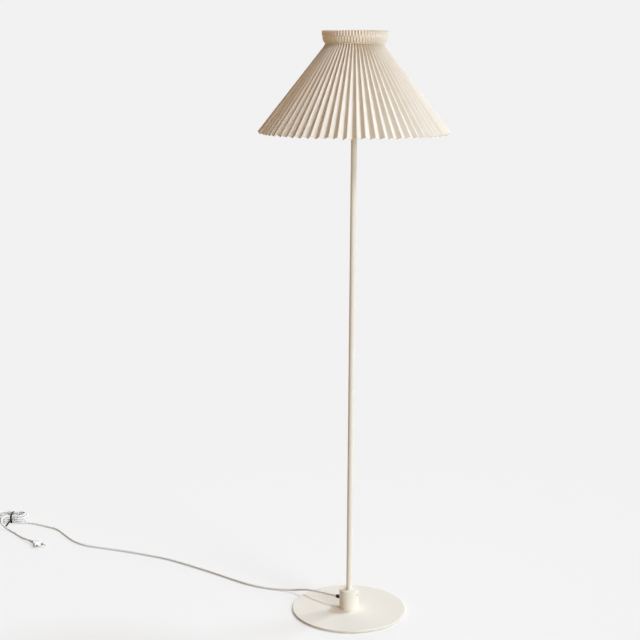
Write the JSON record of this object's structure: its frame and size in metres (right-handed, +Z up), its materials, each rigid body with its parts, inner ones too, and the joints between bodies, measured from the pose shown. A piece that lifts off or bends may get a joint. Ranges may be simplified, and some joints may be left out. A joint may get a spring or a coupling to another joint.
{
  "type": "floor lamp",
  "caption": "Floor lamp with a round base, slim pole and wide pleated cone shade with a folded collar; the shade turns and lifts off above a switched lampholder, with a tied mains cord.",
  "frame": {"origin": "centre of the base's underside, on the floor", "axes": "+Z up along the pole, -Y towards the front, +X to the right seen from the front"},
  "size_m": [1.2549, 0.8699, 1.415],
  "materials": {
    "cream_paint": "satin powder coat",
    "felt": "dense felt",
    "steel": "zinc plated",
    "grip_plastic": "moulded",
    "live_insulation": "extruded",
    "neutral_insulation": "extruded",
    "holder_plastic": "moulded",
    "porcelain": "fired",
    "brass": "bright",
    "carrier_paint": "white powder coat",
    "shade_sheet": "matt pleated sheet",
    "opal_glass": "opal",
    "bulb_metal": "rolled thread",
    "bulb_black": "glass insulator",
    "textile": "braided sleeve",
    "tie": "flat band",
    "plug_plastic": "moulded",
    "pin_plastic": "sleeve",
    "pin_metal": "nickel plated"
  },
  "bodies": {
    "stand": {"base_plate": "cream_paint", "hub": "cream_paint", "pole": "cream_paint", "pole_cap": "cream_paint", "base_felt": "felt", "hub_screws": "steel", "set_screw": "steel", "threaded_nipple": "steel", "lock_nut": "steel", "nipple_nut": "steel", "cord_grip": "grip_plastic", "live_wire": "live_insulation", "neutral_wire": "neutral_insulation", "lampholder_cap": "holder_plastic", "lampholder_skirt": "holder_plastic", "shade_ring_lower": "holder_plastic", "shade_ring_upper": "holder_plastic", "lampholder_insulator": "porcelain", "screw_shell": "brass", "centre_contact": "brass", "terminal_screws": "brass", "cord_run": "textile", "cord_hank": "textile", "cord_tail": "textile", "hank_tie": "tie", "plug_body": "plug_plastic", "pin_sleeves": "pin_plastic", "plug_pins": "pin_metal"},
    "switch": {"switch_bar": "holder_plastic"},
    "carrier": {"carrier_plate": "carrier_paint", "carrier_arms": "carrier_paint", "neck_ring": "carrier_paint"},
    "shade": {"pleated_shade": "shade_sheet"},
    "bulb_contact": {"bulb_foot": "brass"},
    "bulb": {"bulb_glass": "opal_glass", "bulb_cap": "bulb_metal", "bulb_insulator": "bulb_black"}
  },
  "joints": [
    {"name": "switch_press", "type": "slide", "parent": "stand", "child": "switch", "axis": [1, 0, 0], "range_m": [-0.006, 0]},
    {"name": "carrier_turn", "type": "hinge", "parent": "stand", "child": "carrier", "pos_m": [0, 0, 1.2811], "axis": [0, 0, 1], "continuous": true},
    {"name": "shade_lift", "type": "slide", "parent": "carrier", "child": "shade", "axis": [0, 0, 1], "range_m": [0, 0.26]},
    {"name": "bulb_rise", "type": "slide", "parent": "stand", "child": "bulb_contact", "axis": [0, 0, 1], "range_m": [0, 0.0216]},
    {"name": "bulb_turn", "type": "hinge", "parent": "bulb_contact", "child": "bulb", "pos_m": [0, 0, 1.275], "axis": [0, 0, 1], "range_deg": [0, 2160]}
  ],
  "couplings": [
    {"joint": "bulb_rise", "follows": "bulb_turn", "m_per_rad": 0.00057296}
  ]
}
